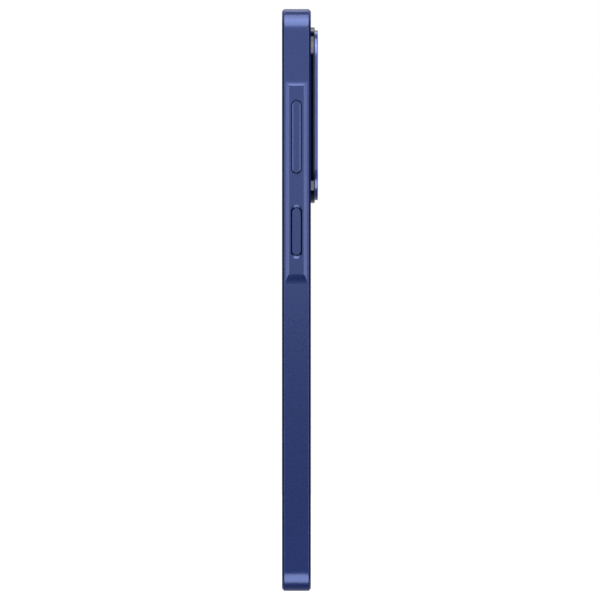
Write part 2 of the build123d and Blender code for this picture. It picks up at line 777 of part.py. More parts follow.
# ------------------------------------------------------------------ loudspeaker
speaker_x = (9.2, 35.8)
speaker_z = (3.2, 24.0)
speaker_y = (plate_back_y, bracket_back_y - screw_head_height)
speaker_wall = 0.5
speaker_corner = 1.5
hollow_x = (13.6, 31.2)
hollow_y = (speaker_y[0] + speaker_wall, speaker_y[1] - speaker_wall)
hollow_z = (5.2, 23.0)
hollow_corner = 1.0
outlet_x = (12.2, 23.8)
outlet_y = (-0.7, 0.7)

with BuildPart() as speaker_box:
    add(slab(speaker_x, speaker_y, speaker_z, speaker_corner))
    add(slab(hollow_x, hollow_y, hollow_z, hollow_corner), mode=Mode.SUBTRACT)
    outlet_z = (speaker_z[0] - slot_margin, hollow_z[0] + slot_margin)
    add(slab(outlet_x, outlet_y, outlet_z), mode=Mode.SUBTRACT)
    for x, z in lower_screws[2:]:
        add(disc(x, z, post_radius + seat_gap, (speaker_y[0], bracket_front_y)), mode=Mode.SUBTRACT)
        add(disc(x, z, screw_shank_radius + seat_gap, speaker_y), mode=Mode.SUBTRACT)

unit_x = (13.9, 30.9)
unit_y = (hollow_y[0] + 0.9, hollow_y[1])
unit_z = (7.6, 22.7)
unit_corner = 1.0
magnet_x = (16.9, 27.9)
magnet_y = (hollow_y[0] + 0.5, unit_y[0])
magnet_z = (10.6, 19.7)
magnet_corner = 0.8

with BuildPart() as speaker_unit:
    add(slab(unit_x, unit_y, unit_z, unit_corner))
    add(slab(magnet_x, magnet_y, magnet_z, magnet_corner))

speaker_mesh_x = (12.0, 24.0)
speaker_mesh_y = (-0.9, 0.9)
speaker_mesh_z = (cavity_bottom_z, cavity_bottom_z + 0.25)

with BuildPart() as speaker_mesh:
    add(slab(speaker_mesh_x, speaker_mesh_y, speaker_mesh_z))

# ------------------------------------------------------------------ microphones
mic_front_y = -0.6
lower_mic_box = ((-15.8, -12.2), (mic_front_y, sub_board_front_y), (3.05, 6.2))
upper_mic_box = ((7.6, 10.2), (mic_front_y, board_front_y), (159.0, 161.0))

with BuildPart() as microphones:
    add(slab(*lower_mic_box))
    add(slab(*upper_mic_box))

# ------------------------------------------------------------------ vibration motor
motor_centre = (-24.5, 13.2)
motor_radius = 4.6
motor_sheet = 0.3
motor_y = (plate_back_y, 1.45)
rotor_radius = 3.8
rotor_y = (-0.8, 0.9)
rotor_hub_radius = 1.3
shaft_radius = 0.4
shaft_gap = 0.05

with BuildPart() as vibration_motor_case:
    inside_y = (motor_y[0] + motor_sheet, motor_y[1] - motor_sheet)
    add(disc(*motor_centre, motor_radius, motor_y))
    add(disc(*motor_centre, motor_radius - motor_sheet, inside_y), mode=Mode.SUBTRACT)
    add(disc(*motor_centre, shaft_radius, inside_y))

with BuildPart() as motor_rotor:
    motor_x, motor_z = motor_centre
    add(disc(*motor_centre, rotor_radius, rotor_y))
    upper_half_x = (motor_x - motor_radius, motor_x + motor_radius)
    upper_half_z = (motor_z, motor_z + motor_radius)
    add(slab(upper_half_x, rotor_y, upper_half_z), mode=Mode.SUBTRACT)
    add(disc(*motor_centre, rotor_hub_radius, rotor_y))
    add(disc(*motor_centre, shaft_radius + shaft_gap, rotor_y), mode=Mode.SUBTRACT)

# ------------------------------------------------------------------ screws
recess_length = 1.2
recess_width = 0.25
recess_depth = 0.2

with BuildPart() as frame_screws:
    for x, z in screw_places:
        seat_y = speaker_y[1] if (x, z) in lower_screws[2:] else bracket_back_y
        head_y = (seat_y, seat_y + screw_head_height - seat_gap)
        add(disc(x, z, screw_head_radius, head_y))
        add(disc(x, z, screw_shank_radius, (screw_tip_y, head_y[1])))
        for recess in ((recess_length, recess_width), (recess_width, recess_length)):
            recess_x = (x - recess[0] / 2, x + recess[0] / 2)
            recess_y = (head_y[1] - recess_depth, head_y[1])
            recess_z = (z - recess[1] / 2, z + recess[1] / 2)
            add(slab(recess_x, recess_y, recess_z), mode=Mode.SUBTRACT)

# ------------------------------------------------------------------ keys and their switches
key_bracket_x = (34.4, 34.8)
key_bracket_y = (plate_back_y, 2.0)
key_bracket_z = (92.0, 140.0)
key_flex_x = (34.8, 34.95)
key_flex_y = (-1.1, 1.7)
key_flex_z = (93.0, 139.0)
dome_x = (34.95, 35.25)
dome_radius = 1.3
dome_edge = 0.25
rocker_pusher = 6.5
pusher_radius = 0.8
pusher_tip_x = 35.6
rocker_places = [volume_key_z - rocker_pusher, volume_key_z + rocker_pusher]

with BuildPart() as key_bracket:
    add(slab(key_bracket_x, key_bracket_y, key_bracket_z))

with BuildPart() as key_flex:
    add(slab(key_flex_x, key_flex_y, key_flex_z))

with BuildPart() as key_domes:
    for dome_z in rocker_places + [power_key_z]:
        add(side_pin(0, dome_z, dome_radius, dome_x))
    fillet(faces().sort_by(Axis.X)[-3:].edges(), dome_edge)

volume_face_x = island_face_x + volume_key_proud
cap_x = (36.3, volume_face_x)
volume_stop_x = (35.8, cap_x[0])
volume_stop_y = (-2.0, 2.0)
volume_stop_z = (volume_key_z - 3.0, volume_key_z + 3.0)

with BuildPart() as volume_key:
    add(side_pill(0, volume_key_z, volume_key_width, volume_key_length, cap_x))
    with BuildSketch(Plane.XY.offset(volume_key_z)):
        with BuildLine():
            key_half = volume_key_width / 2
            facet_foot_x = volume_face_x - volume_facet_drop
            Polyline(
                (cap_x[0], -key_half),
                (facet_foot_x, -key_half),
                (volume_face_x, volume_facet_width - key_half),
                (volume_face_x, key_half - volume_facet_width),
                (facet_foot_x, key_half),
                (cap_x[0], key_half),
                close=True,
            )
        make_face()
    extrude(amount=volume_key_length / 2, both=True, mode=Mode.INTERSECT)
    fillet(faces().sort_by(Axis.X)[-1].edges(), key_edge)
    add(slab(volume_stop_x, volume_stop_y, volume_stop_z))
    for pusher_z in rocker_places:
        add(side_pin(0, pusher_z, pusher_radius, (pusher_tip_x, cap_x[0])))

sensor_face = 0.3
sensor_thickness = 0.6
power_face_x = island_face_x - power_key_sunk
sensor_x = (power_face_x - sensor_face - sensor_thickness, power_face_x - sensor_face)
power_key_edge = 0.12
flange_x = (36.0, 36.45)
flange_size = (3.6, 14.3)
key_hollow = (1.7, 12.4)

with BuildPart() as power_key:
    add(side_pill(0, power_key_z, power_key_width, power_key_length, (flange_x[0], power_face_x)))
    fillet(faces().sort_by(Axis.X)[-1].edges(), power_key_edge)
    add(side_pill(0, power_key_z, *flange_size, flange_x))
    add(side_pill(0, power_key_z, *key_hollow, (flange_x[0], sensor_x[1])), mode=Mode.SUBTRACT)

with BuildPart() as fingerprint_sensor:
    sensor_size = (key_hollow[0] - 2 * seat_gap, key_hollow[1] - 2 * seat_gap)
    add(side_pill(0, power_key_z, *sensor_size, sensor_x))

with BuildPart() as power_key_plunger:
    add(side_pill(0, power_key_z, *sensor_size, (flange_x[0], sensor_x[0])))
    add(side_pin(0, power_key_z, pusher_radius, (pusher_tip_x + hole_gap, flange_x[0])))

# ------------------------------------------------------------------ card tray
tray_head_edge = 0.12
blade_corner = 0.5
blade_root = 1.0
card_corner = 0.6
card_window_corner = 0.4

with BuildPart() as card_tray:
    head_x = (-half_width, blade_x[0])
    add(side_pill(0, tray_z, tray_head_depth, tray_head_length, head_x))
    fillet(faces().sort_by(Axis.X)[0].edges(), tray_head_edge)
    add(slab(blade_x, blade_y, blade_z, blade_corner))
    add(slab((blade_x[0], blade_x[0] + blade_root), blade_y, blade_z))
    for x, z in card_centres:
        x_span = (x - card_opening[0] / 2, x + card_opening[0] / 2)
        z_span = (z - card_opening[1] / 2, z + card_opening[1] / 2)
        card_y = (blade_y[0] + card_floor, blade_y[1])
        add(slab(x_span, card_y, z_span, card_corner), mode=Mode.SUBTRACT)
        x_span = (x_span[0] + card_ledge, x_span[1] - card_ledge)
        z_span = (z_span[0] + card_ledge, z_span[1] - card_ledge)
        add(slab(x_span, blade_y, z_span, card_window_corner), mode=Mode.SUBTRACT)
    add(side_pin(blade_mid_y, eject_hole_z, eject_hole_radius, head_x), mode=Mode.SUBTRACT)

tray_gasket_size = (2.0, 22.4)
tray_gasket_thickness = 0.4

with BuildPart() as card_tray_gasket:
    gasket_x = (blade_x[0], blade_x[0] + tray_gasket_thickness)
    add(side_pill(0, tray_z, *tray_gasket_size, gasket_x))
    blade_way_y = (blade_y[0] - hole_gap, blade_y[1] + hole_gap)
    blade_way_z = (blade_z[0] - hole_gap, blade_z[1] + hole_gap)
    add(slab(gasket_x, blade_way_y, blade_way_z), mode=Mode.SUBTRACT)
    add(side_pin(blade_mid_y, eject_hole_z, eject_way_radius, gasket_x), mode=Mode.SUBTRACT)

# ------------------------------------------------------------------ card socket and eject mechanism
socket_x = (-36.3, -13.6)
socket_y = (-0.95, board_front_y)
socket_z = (118.6, 141.8)
socket_sheet = 0.15
socket_back_sheet = 0.3
lever_pivot = (-15.6, 130.0)
lever_arm = 9.3
lever_end = 0.6
lever_width = 1.4
lever_y = (-0.35, 0.15)
lever_pin_radius = 0.4
lever_gap = 0.3
eject_rod_radius = 0.4
eject_rod_outer_x = -36.4
slider_gap = 0.05
slider_y = (-0.5, 0.3)
slider_z = (132.0, 139.7)

with BuildPart() as card_socket:
    add(slab(socket_x, socket_y, socket_z))
    socket_inside_y = (socket_y[0] + socket_sheet, socket_y[1] - socket_back_sheet)
    socket_inside_z = (socket_z[0] + socket_sheet, socket_z[1] - socket_sheet)
    through_x = (socket_x[0] - cut_margin, socket_x[1] + cut_margin)
    add(slab(through_x, socket_inside_y, socket_inside_z), mode=Mode.SUBTRACT)
    add(disc(*lever_pivot, lever_pin_radius, socket_inside_y))

with BuildPart() as eject_rod:
    rod_x = (eject_rod_outer_x, lever_pivot[0] - lever_width / 2 - lever_gap)
    add(side_pin(blade_mid_y, eject_hole_z, eject_rod_radius, rod_x))

with BuildPart() as eject_lever:
    pivot_x, pivot_z = lever_pivot
    bar_x = (pivot_x - lever_width / 2, pivot_x + lever_width / 2)
    bar_z = (pivot_z - lever_arm - lever_end, pivot_z + lever_arm + lever_end)
    add(slab(bar_x, lever_y, bar_z, lever_end))
    add(disc(*lever_pivot, lever_pin_radius + shaft_gap, lever_y), mode=Mode.SUBTRACT)

with BuildPart() as eject_slider:
    slider_x = (blade_x[1] + slider_gap, bar_x[0] - lever_gap)
    add(slab(slider_x, slider_y, slider_z))

# ------------------------------------------------------------------ write every piece
pieces = {
    "side_frame": side_frame.part,
    "support_plate": support_plate.part,
    "display_cover_glass": display_cover_glass.part,
    "display_panel": display_panel.part,
    "display_adhesive": display_adhesive.part,
    "display_flex": display_flex.part,
    "earpiece_mesh": earpiece_mesh.part,
    "earpiece_receiver": earpiece_receiver.part,
    "front_camera_module": front_camera_module.part,
    "light_sensor": light_sensor.part,
    "rear_cover": rear_cover.part,
    "rear_cover_adhesive": rear_cover_adhesive.part,
    "graphite_sheet": graphite_sheet.part,
    "camera_island_base": camera_island_base.part,
    "camera_island_rim": camera_island_rim.part,
    "camera_cover_glass": camera_cover_glass.part,
    "lens_trim_rings": lens_trim_rings.part,
    "main_camera_housing": main_camera_housing.part,
    "main_image_sensor": main_image_sensor.part,
    "main_lens_barrel": main_lens_barrel.part,
    "ultrawide_camera_module": ultrawide_camera_module.part,
    "macro_camera_module": macro_camera_module.part,
    "flash_lens": flash_lens.part,
    "flash_led": flash_led.part,
    "main_board": main_board.part,
    "shield_cans": shield_cans.part,
    "board_chips": board_chips.part,
    "upper_bracket": upper_bracket.part,
    "near_field_antenna": near_field_antenna.part,
    "battery_cell": battery_cell.part,
    "battery_adhesive": battery_adhesive.part,
    "battery_connector": battery_connector.part,
    "sub_board": sub_board.part,
    "lower_bracket": lower_bracket.part,
    "interconnect_flex": interconnect_flex.part,
    "antenna_coax": antenna_coax.part,
    "charging_port_shell": charging_port_shell.part,
    "charging_port_tongue": charging_port_tongue.part,
    "charging_port_contacts": charging_port_contacts.part,
    "charging_port_gasket": charging_port_gasket.part,
    "speaker_box": speaker_box.part,
    "speaker_unit": speaker_unit.part,
    "speaker_mesh": speaker_mesh.part,
    "microphones": microphones.part,
    "vibration_motor_case": vibration_motor_case.part,
    "motor_rotor": motor_rotor.part,
    "frame_screws": frame_screws.part,
    "key_bracket": key_bracket.part,
    "key_flex": key_flex.part,
    "key_domes": key_domes.part,
    "volume_key": volume_key.part,
    "power_key": power_key.part,
    "fingerprint_sensor": fingerprint_sensor.part,
    "power_key_plunger": power_key_plunger.part,
    "card_tray": card_tray.part,
    "card_tray_gasket": card_tray_gasket.part,
    "card_socket": card_socket.part,
    "eject_rod": eject_rod.part,
    "eject_lever": eject_lever.part,
    "eject_slider": eject_slider.part,
}

os.makedirs("parts", exist_ok=True)
for name, piece in pieces.items():
    piece.label = name
    export_step(piece, f"parts/{name}.step")
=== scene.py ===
import json
import math

import bmesh
import bpy
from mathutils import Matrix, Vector


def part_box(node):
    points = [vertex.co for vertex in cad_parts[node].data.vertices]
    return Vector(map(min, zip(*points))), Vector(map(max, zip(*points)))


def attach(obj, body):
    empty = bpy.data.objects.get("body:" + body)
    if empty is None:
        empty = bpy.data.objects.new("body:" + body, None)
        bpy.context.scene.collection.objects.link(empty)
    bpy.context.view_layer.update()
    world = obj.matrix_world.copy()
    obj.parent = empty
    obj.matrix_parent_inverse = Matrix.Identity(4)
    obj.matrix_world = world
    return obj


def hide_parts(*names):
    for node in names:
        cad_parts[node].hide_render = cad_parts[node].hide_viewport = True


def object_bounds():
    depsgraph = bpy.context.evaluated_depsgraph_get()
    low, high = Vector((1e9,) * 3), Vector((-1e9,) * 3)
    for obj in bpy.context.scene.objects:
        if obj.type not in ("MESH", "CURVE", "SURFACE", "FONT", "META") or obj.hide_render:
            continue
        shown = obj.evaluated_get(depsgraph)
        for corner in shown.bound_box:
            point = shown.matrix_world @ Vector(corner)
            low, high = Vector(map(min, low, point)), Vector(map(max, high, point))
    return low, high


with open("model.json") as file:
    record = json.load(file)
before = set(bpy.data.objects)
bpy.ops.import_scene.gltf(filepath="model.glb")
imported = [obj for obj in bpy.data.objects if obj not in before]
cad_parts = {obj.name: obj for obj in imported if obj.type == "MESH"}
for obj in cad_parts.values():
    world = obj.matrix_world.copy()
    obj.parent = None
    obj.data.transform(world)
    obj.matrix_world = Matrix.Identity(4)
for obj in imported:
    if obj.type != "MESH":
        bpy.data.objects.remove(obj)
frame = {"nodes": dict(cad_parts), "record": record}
bpy.context.view_layer.update()
cad_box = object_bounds()

MM = 0.001
nodes = frame["nodes"]


# ------------------------------------------------------------------ small helpers for materials
class Shader:
    """One node material, with its main shader and short ways to add textures to it."""

    def __init__(self, name):
        self.material = bpy.data.materials.new(name)
        self.material.use_nodes = True
        self.tree = self.material.node_tree
        self.main = self.tree.nodes["Principled BSDF"]
        self.coords = self.add("ShaderNodeTexCoord").outputs["Object"]
        self.split = None

    def add(self, kind, **settings):
        node = self.tree.nodes.new(kind)
        for key, value in settings.items():
            setattr(node, key, value)
        return node

    def link(self, source, target):
        self.tree.links.new(source, target)

    def set(self, **values):
        """Sets the main shader's plain values, by socket name with underscores for spaces."""
        for key, value in values.items():
            self.main.inputs[key.replace("_", " ")].default_value = value

    def noise(self, scale, detail=2.0, roughness=0.5, stretch=(1, 1, 1)):
        """Noise over the object, scale in features per metre."""
        mapping = self.add("ShaderNodeMapping")
        mapping.inputs["Scale"].default_value = stretch
        self.link(self.coords, mapping.inputs["Vector"])
        noise = self.add("ShaderNodeTexNoise")
        noise.inputs["Scale"].default_value = scale
        noise.inputs["Detail"].default_value = detail
        noise.inputs["Roughness"].default_value = roughness
        self.link(mapping.outputs["Vector"], noise.inputs["Vector"])
        return noise.outputs["Fac"]

    def cells(self, scale, output="Color"):
        """Small random cells over the object, such as metal flakes in paint."""
        cells = self.add("ShaderNodeTexVoronoi")
        cells.inputs["Scale"].default_value = scale
        self.link(self.coords, cells.inputs["Vector"])
        return cells.outputs[output]

    def math(self, operation, first, second=None, third=None):
        node = self.add("ShaderNodeMath", operation=operation)
        for socket, value in zip(node.inputs, (first, second, third)):
            if value is None:
                continue
            if isinstance(value, (int, float)):
                socket.default_value = value
            else:
                self.link(value, socket)
        return node.outputs[0]

    def remap(self, value, low, high, new_low, new_high, smooth=False):
        node = self.add("ShaderNodeMapRange")
        if smooth:
            node.interpolation_type = "SMOOTHSTEP"
        self.link(value, node.inputs["Value"])
        limits = {"From Min": low, "From Max": high, "To Min": new_low, "To Max": new_high}
        for key, number in limits.items():
            node.inputs[key].default_value = number
        return node.outputs["Result"]

    def blend(self, factor, first, second):
        """Mixes two colours, each a socket or a plain colour."""
        node = self.add("ShaderNodeMix", data_type="RGBA")
        self.link(factor, node.inputs["Factor"])
        for key, value in (("A", first), ("B", second)):
            socket = [s for s in node.inputs if s.name == key and s.type == "RGBA"][0]
            if isinstance(value, tuple):
                socket.default_value = (*value, 1.0)
            else:
                self.link(value, socket)
        return [s for s in node.outputs if s.type == "RGBA"][0]

    def paint(self, colour):
        self.link(colour, self.main.inputs["Base Color"])

    def rough(self, value):
        self.link(value, self.main.inputs["Roughness"])

    def bump(self, height, strength, distance):
        node = self.add("ShaderNodeBump")
        node.inputs["Strength"].default_value = strength
        node.inputs["Distance"].default_value = distance
        self.link(height, node.inputs["Height"])
        self.link(node.outputs["Normal"], self.main.inputs["Normal"])

    def place(self, axis):
        """One coordinate of the point being shaded, in metres."""
        if self.split is None:
            self.split = self.add("ShaderNodeSeparateXYZ")
            self.link(self.coords, self.split.inputs[0])
        return self.split.outputs["XYZ".index(axis)]

    def from_axis(self, x, z):
        """Distance in metres from an axis along Y through x and z."""
        across = self.math("SUBTRACT", self.place("X"), x)
        up = self.math("SUBTRACT", self.place("Z"), z)
        squares = self.math("ADD", self.math("MULTIPLY", across, across), self.math("MULTIPLY", up, up))
        return self.math("SQRT", squares)

    def gather(self, operation, values):
        """Combines several values with one operation, such as ADD, one after the other."""
        result = values[0]
        for value in values[1:]:
            result = self.math(operation, result, value)
        return result

    def bell(self, value, centre, half_spread):
        """1 where value is at centre, falling smoothly to 0 at half_spread on both sides."""
        away = self.math("ABSOLUTE", self.math("SUBTRACT", value, centre))
        return self.remap(away, 0, half_spread, 1, 0, smooth=True)


class Sky(Shader):
    """The studio round the phone, as a function of direction."""

    def __init__(self, name):
        self.world = bpy.data.worlds.new(name)
        self.world.use_nodes = True
        self.tree = self.world.node_tree
        self.main = self.tree.nodes["Background"]
        self.coords = self.add("ShaderNodeTexCoord").outputs["Generated"]
        self.split = None


def mottled(name, dark, light, roughness, metallic=0.0, grain=4000, patch=60, relief=0.004, coat=0.0):
    """A material with two close colours, patchy gloss and a fine surface grain."""
    s = Shader(name)
    s.set(Metallic=metallic, Coat_Weight=coat, Coat_Roughness=0.12)
    broad = s.noise(patch, 3.0)
    fine = s.noise(grain, 2.0)
    s.paint(s.blend(broad, dark, light))
    s.rough(s.remap(fine, 0.3, 0.7, roughness * 0.88, roughness * 1.12))
    s.bump(fine, 0.35, relief * MM)
    return s.material


def flake_paint(name, colours, roughness, metallic, coat, sheen_tint, coat_roughness=0.18, shaded_walls=None):
    """Satin metallic paint: tiny flakes under a thin clear coat, with a trace of orange peel.

    The last argument is (x, y, low z, high z): on the keys' side, walls that lie deeper than x, within y of
    the middle and between the two heights are painted deep blue and matt, a painted shade for the key
    slots' walls.
    """
    dark, light = colours
    s = Shader(name)
    s.set(Metallic=metallic, IOR=2.0, Specular_Tint=(*sheen_tint, 1.0))
    s.set(Coat_Weight=coat, Coat_Roughness=coat_roughness, Coat_IOR=1.4)
    flakes = s.cells(9000)
    split = s.add("ShaderNodeSeparateColor")
    s.link(flakes, split.inputs[0])
    depth = s.noise(45, 3.0)
    shade = s.math("ADD", s.math("MULTIPLY", split.outputs[0], 0.55), s.math("MULTIPLY", depth, 0.45))
    colour = s.blend(shade, dark, light)
    gloss = s.remap(split.outputs[1], 0.0, 1.0, roughness - 0.05, roughness + 0.05)
    # Painted shade: walls deep in the key slots are painted dark blue and lose their gloss, standing in for
    # the shade there
    if shaded_walls:
        wall_x, half_y, low_z, high_z = shaded_walls
        slot_shade_mask = s.gather("MULTIPLY", [
            s.remap(s.place("X"), wall_x - wall_fade, wall_x, 1, 0),
            s.math("GREATER_THAN", s.place("X"), key_side_x),
            s.math("LESS_THAN", s.math("ABSOLUTE", s.place("Y")), half_y),
            s.math("GREATER_THAN", s.place("Z"), low_z),
            s.math("LESS_THAN", s.place("Z"), high_z),
        ])
        colour = s.blend(slot_shade_mask, colour, painted_wall_shade)
        gloss = s.math("MAXIMUM", gloss, s.math("MULTIPLY", slot_shade_mask, wall_roughness))
        for socket, level in (("Specular IOR Level", 0.5), ("Coat Weight", coat), ("Metallic", metallic)):
            s.link(s.remap(slot_shade_mask, 0, 1, level, 0), s.main.inputs[socket])
    s.paint(colour)
    s.rough(gloss)
    peel = s.noise(900, 2.0)
    fine = s.noise(6500, 1.0)
    height = s.math("ADD", s.math("MULTIPLY", peel, 0.6), s.math("MULTIPLY", fine, 0.4))
    s.bump(height, 0.18, 0.004 * MM)
    return s.material


def turned_metal(name, colour, roughness, spacing, centres):
    """Metal finished on a lathe, with fine rings about each centre."""
    s = Shader(name)
    s.set(Metallic=1.0)
    nearest = s.gather("MINIMUM", [s.from_axis(x, z) for x, z in centres])
    rings = s.math("SINE", s.math("MULTIPLY", nearest, 2 * math.pi / spacing))
    dark = tuple(0.8 * channel for channel in colour)
    s.paint(s.blend(s.remap(rings, -1, 1, 0, 1), dark, colour))
    s.rough(s.remap(s.noise(3000), 0.3, 0.7, roughness - 0.04, roughness + 0.04))
    s.bump(rings, 0.15, 0.002 * MM)
    return s.material


# ------------------------------------------------------------------ places taken from the frame
island_low, island_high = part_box("camera_cover_glass")
rings_low, rings_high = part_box("lens_trim_rings")
ring_radius = (rings_high.x - rings_low.x) / 2
ring_wall = 0.9 * MM
camera_x = (rings_low.x + rings_high.x) / 2
camera_z = [rings_high.z - ring_radius, (rings_low.z + rings_high.z) / 2, rings_low.z + ring_radius]
camera_centres = [(camera_x, z) for z in camera_z]
flash_low, flash_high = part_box("flash_lens")
flash_centre = ((flash_low.x + flash_high.x) / 2, (flash_low.z + flash_high.z) / 2)
selfie_low, selfie_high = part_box("front_camera_module")
selfie_centre = ((selfie_low.x + selfie_high.x) / 2, (selfie_low.z + selfie_high.z) / 2)
panel_low, panel_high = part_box("display_panel")


# ------------------------------------------------------------------ materials
def screen_glass():
    """Black cover glass: a darker printed border round the panel, and the front camera's window."""
    s = Shader("screen_glass")
    s.set(Roughness=0.06, IOR=1.5, Coat_Weight=0.6, Coat_Roughness=0.03)
    edge = 0.12 * MM
    border_width = 1.0 * MM
    across = s.math("ABSOLUTE", s.place("X"))
    up = s.math("ABSOLUTE", s.math("SUBTRACT", s.place("Z"), (panel_low.z + panel_high.z) / 2))
    half_up = (panel_high.z - panel_low.z) / 2 - border_width
    half_across = panel_high.x - border_width
    side = s.remap(across, half_across - edge, half_across + edge, 1, 0, smooth=True)
    ends = s.remap(up, half_up - edge, half_up + edge, 1, 0, smooth=True)
    active = s.math("MULTIPLY", side, ends)
    from_camera = s.from_axis(*selfie_centre)
    # The front camera's clear window, its lens and the lens's dark pupil
    outside = s.remap(from_camera, 1.9 * MM, 1.95 * MM, 0, 1, smooth=True)
    lens = s.remap(from_camera, 1.0 * MM, 1.05 * MM, 1, 0, smooth=True)
    pupil = s.remap(from_camera, 0.45 * MM, 0.6 * MM, 1, 0, smooth=True)
    panel_seen = s.math("MULTIPLY", active, outside)
    panel = s.blend(panel_seen, (0.0015, 0.0015, 0.0018), (0.0062, 0.0066, 0.0085))
    ringed = s.blend(lens, panel, (0.004, 0.008, 0.03))
    s.paint(s.blend(pupil, ringed, (0.0004, 0.0004, 0.001)))
    smudge = s.noise(38, 4.0, 0.6)
    s.rough(s.remap(smudge, 0.4, 0.75, 0.04, 0.12))
    return s.material


def gloss_black(name, colour, roughness):
    """Polished black plastic with faint polishing waves."""
    s = Shader(name)
    s.set(IOR=1.42, Coat_Weight=0.25, Coat_Roughness=0.04)
    s.paint(s.blend(s.noise(120, 3.0), colour, tuple(1.6 * channel for channel in colour)))
    s.rough(s.remap(s.noise(500, 3.0), 0.3, 0.7, roughness * 0.7, roughness * 1.4))
    s.bump(s.noise(260, 2.0), 0.1, 0.003 * MM)
    return s.material


def lens_coating(name, centre_colour, glancing_reflection_tint):
    """A front lens element: near-black glass, with its coating's tinted reflection painted into the colour
    towards the glancing edge.
    """
    s = Shader(name)
    s.set(Roughness=0.02, IOR=1.6, Coat_Weight=1.0, Coat_Roughness=0.01)
    facing = s.add("ShaderNodeLayerWeight")
    facing.inputs["Blend"].default_value = 0.35
    s.paint(s.blend(facing.outputs["Facing"], centre_colour, glancing_reflection_tint))
    s.bump(s.noise(200, 1.0), 0.02, 0.002 * MM)
    return s.material


def clear_window(name, tint, opacity):
    """A thin clear window with polished faces, faintly smeared."""
    s = Shader(name)
    s.set(IOR=1.5, Alpha=opacity, Coat_Weight=1.0, Coat_Roughness=0.02)
    s.paint(s.blend(s.noise(300, 3.0), tint, tuple(1.2 * channel for channel in tint)))
    s.rough(s.remap(s.noise(90, 4.0), 0.4, 0.8, 0.02, 0.08))
    return s.material


def mesh_weave(name):
    """A fine black woven wire mesh."""
    s = Shader(name)
    s.set(Metallic=0.6)
    pitch = 0.16 * MM
    along = s.math("SINE", s.math("MULTIPLY", s.place("X"), 2 * math.pi / pitch))
    depth = s.math("ADD", s.place("Y"), s.place("Z"))
    over = s.math("SINE", s.math("MULTIPLY", depth, 2 * math.pi / pitch))
    weave = s.math("MULTIPLY", along, over)
    # The weave is the mesh's own pattern, but its colour follows its height: raised wires are painted
    # lighter, a painted highlight, and sunk ones darker, a painted shade
    s.paint(s.blend(s.remap(weave, -1, 1, 0, 1), (0.004, 0.004, 0.004), (0.06, 0.06, 0.062)))
    s.rough(s.remap(weave, -1, 1, 0.6, 0.35))
    s.bump(weave, 0.6, 0.03 * MM)
    return s.material


def circuit_board(name):
    """Solder mask over a faint pattern of tracks."""
    s = Shader(name)
    s.set(Coat_Weight=0.3)
    brick = s.add("ShaderNodeTexBrick")
    brick.inputs["Scale"].default_value = 420
    brick.inputs["Mortar Size"].default_value = 0.06
    mapping = s.add("ShaderNodeMapping")
    mapping.inputs["Rotation"].default_value = (math.pi / 2, 0, 0)
    s.link(s.coords, mapping.inputs["Vector"])
    s.link(mapping.outputs["Vector"], brick.inputs["Vector"])
    s.paint(s.blend(brick.outputs["Fac"], (0.004, 0.03, 0.018), (0.012, 0.07, 0.042)))
    s.rough(s.remap(s.noise(700), 0.3, 0.7, 0.35, 0.5))
    s.bump(brick.outputs["Fac"], 0.3, 0.02 * MM)
    return s.material


blues = ((0.003, 0.009, 0.062), (0.006, 0.018, 0.110))
rim_blues = ((0.03, 0.05, 0.25), (0.05, 0.08, 0.36))
# The dark blue painted on the walls deep round the keys, as painted shade
painted_wall_shade = (0.004, 0.010, 0.080)
flake_tint = (0.40, 0.52, 1.0)
rim_tint = (0.40, 0.52, 0.85)
